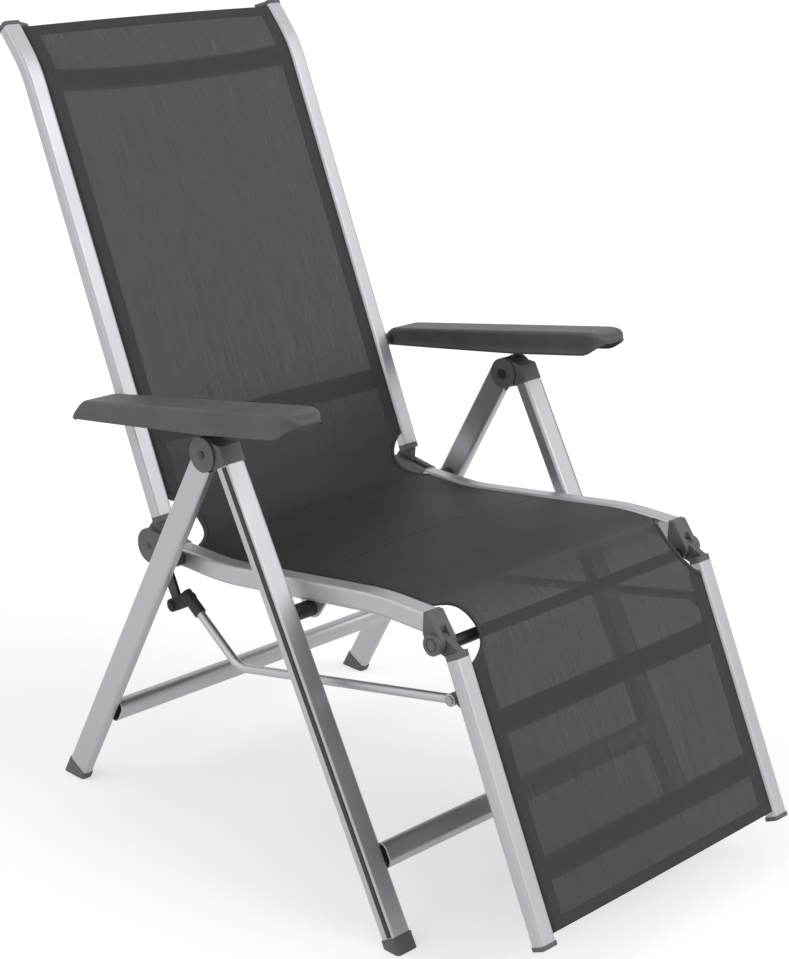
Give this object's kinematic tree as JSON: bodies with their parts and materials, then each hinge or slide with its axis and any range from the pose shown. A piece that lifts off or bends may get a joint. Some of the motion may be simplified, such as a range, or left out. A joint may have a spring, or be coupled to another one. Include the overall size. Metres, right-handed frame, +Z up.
{
  "type": "reclining garden armchair",
  "caption": "Folding garden recliner with mesh seat, tilting back, linked footrest and curved armrests on a tubular frame.",
  "frame": {"origin": "on the floor, under the middle of the box around the chair", "axes": "+Z up; -Y is the way the sitter faces; +X is the sitter's left"},
  "size_m": [0.658, 1.0535, 1.0781],
  "materials": {
    "silver_aluminium": "fine silver powder coat",
    "grey_plastic": "moulded, satin, anthracite grey",
    "black_plastic": "moulded, satin, black",
    "arm_plastic": "moulded, satin, dark grey",
    "dark_steel": "black coated",
    "steel": "zinc plated",
    "fabric": "coated polyester mesh"
  },
  "bodies": {
    "front_frame": {"front_leg_left": "silver_aluminium", "front_leg_right": "silver_aluminium", "front_leg_strips": "black_plastic", "front_feet": "grey_plastic", "front_crossbar": "silver_aluminium", "front_leg_head_left": "grey_plastic", "front_leg_head_right": "grey_plastic", "leg_pins": "dark_steel", "seat_bushes": "black_plastic", "seat_bolts": "steel"},
    "rear_frame": {"rear_leg_left": "silver_aluminium", "rear_leg_right": "silver_aluminium", "rear_feet": "grey_plastic", "rear_crossbar": "silver_aluminium", "rear_leg_head_left": "grey_plastic", "rear_leg_head_right": "grey_plastic"},
    "seat": {"seat_rail_left": "silver_aluminium", "seat_rail_right": "silver_aluminium", "seat_tabs": "silver_aluminium", "seat_rest_blocks": "black_plastic", "seat_crossbar": "dark_steel", "seat_rear_hinge_left": "grey_plastic", "seat_rear_hinge_right": "grey_plastic", "seat_front_hinge_left": "grey_plastic", "seat_front_hinge_right": "grey_plastic", "back_hinge_pins": "dark_steel", "footrest_hinge_pins": "grey_plastic", "seat_fabric": "fabric"},
    "back": {"back_rail_left": "silver_aluminium", "back_rail_right": "silver_aluminium", "back_cap_left": "grey_plastic", "back_cap_right": "grey_plastic", "back_crossbar_upper": "silver_aluminium", "back_crossbar_lower": "silver_aluminium", "back_hinge_left": "grey_plastic", "back_hinge_right": "grey_plastic", "crank_left": "dark_steel", "crank_right": "dark_steel", "crank_rivets": "dark_steel", "arm_bushes": "black_plastic", "arm_bolts": "steel", "back_fabric": "fabric"},
    "footrest": {"footrest_rail_left": "silver_aluminium", "footrest_rail_right": "silver_aluminium", "footrest_crossbar_upper": "silver_aluminium", "footrest_crossbar_lower": "silver_aluminium", "footrest_hinge_left": "grey_plastic", "footrest_hinge_right": "grey_plastic", "rod_brackets": "dark_steel", "bracket_rivets": "steel", "footrest_caps": "grey_plastic", "footrest_fabric": "fabric"},
    "rod_left": {"link_rod_left": "silver_aluminium", "rod_end_left": "black_plastic"},
    "arm_left": {"armrest_left": "arm_plastic", "arm_rack_left": "black_plastic"},
    "rod_right": {"link_rod_right": "silver_aluminium", "rod_end_right": "black_plastic"},
    "arm_right": {"armrest_right": "arm_plastic", "arm_rack_right": "black_plastic"}
  },
  "joints": [
    {"name": "leg_fold", "type": "hinge", "parent": "front_frame", "child": "rear_frame", "pos_m": [0, 0.038, 0.576], "axis": [1, 0, 0], "range_deg": [-50, 0]},
    {"name": "seat_tip", "type": "hinge", "parent": "front_frame", "child": "seat", "pos_m": [0, -0.096, 0.385], "axis": [1, 0, 0], "range_deg": [0, 15]},
    {"name": "recline", "type": "hinge", "parent": "seat", "child": "back", "pos_m": [0, 0.213, 0.389], "axis": [1, 0, 0], "range_deg": [-31, 0]},
    {"name": "footrest_lift", "type": "hinge", "parent": "seat", "child": "footrest", "pos_m": [0, -0.33, 0.411], "axis": [1, 0, 0], "range_deg": [-36.3, 0]},
    {"name": "rod_swing_left", "type": "hinge", "parent": "back", "child": "rod_left", "pos_m": [0.2498, 0.17, 0.312], "axis": [1, 0, 0], "range_deg": [0, 31.7]},
    {"name": "arm_swing_left", "type": "hinge", "parent": "back", "child": "arm_left", "pos_m": [0.269, 0.269, 0.583], "axis": [1, 0, 0], "range_deg": [0, 24.5]},
    {"name": "rod_swing_right", "type": "hinge", "parent": "back", "child": "rod_right", "pos_m": [-0.2498, 0.17, 0.312], "axis": [1, 0, 0], "range_deg": [0, 31.7]},
    {"name": "arm_swing_right", "type": "hinge", "parent": "back", "child": "arm_right", "pos_m": [-0.269, 0.269, 0.583], "axis": [1, 0, 0], "range_deg": [0, 24.5]}
  ],
  "couplings": [
    {"joint": "footrest_lift", "follows": "recline", "ratio": 1.1653},
    {"joint": "rod_swing_left", "follows": "recline", "ratio": -1.0169},
    {"joint": "arm_swing_left", "follows": "recline", "ratio": -0.79},
    {"joint": "rod_swing_right", "follows": "recline", "ratio": -1.0169},
    {"joint": "arm_swing_right", "follows": "recline", "ratio": -0.79}
  ]
}
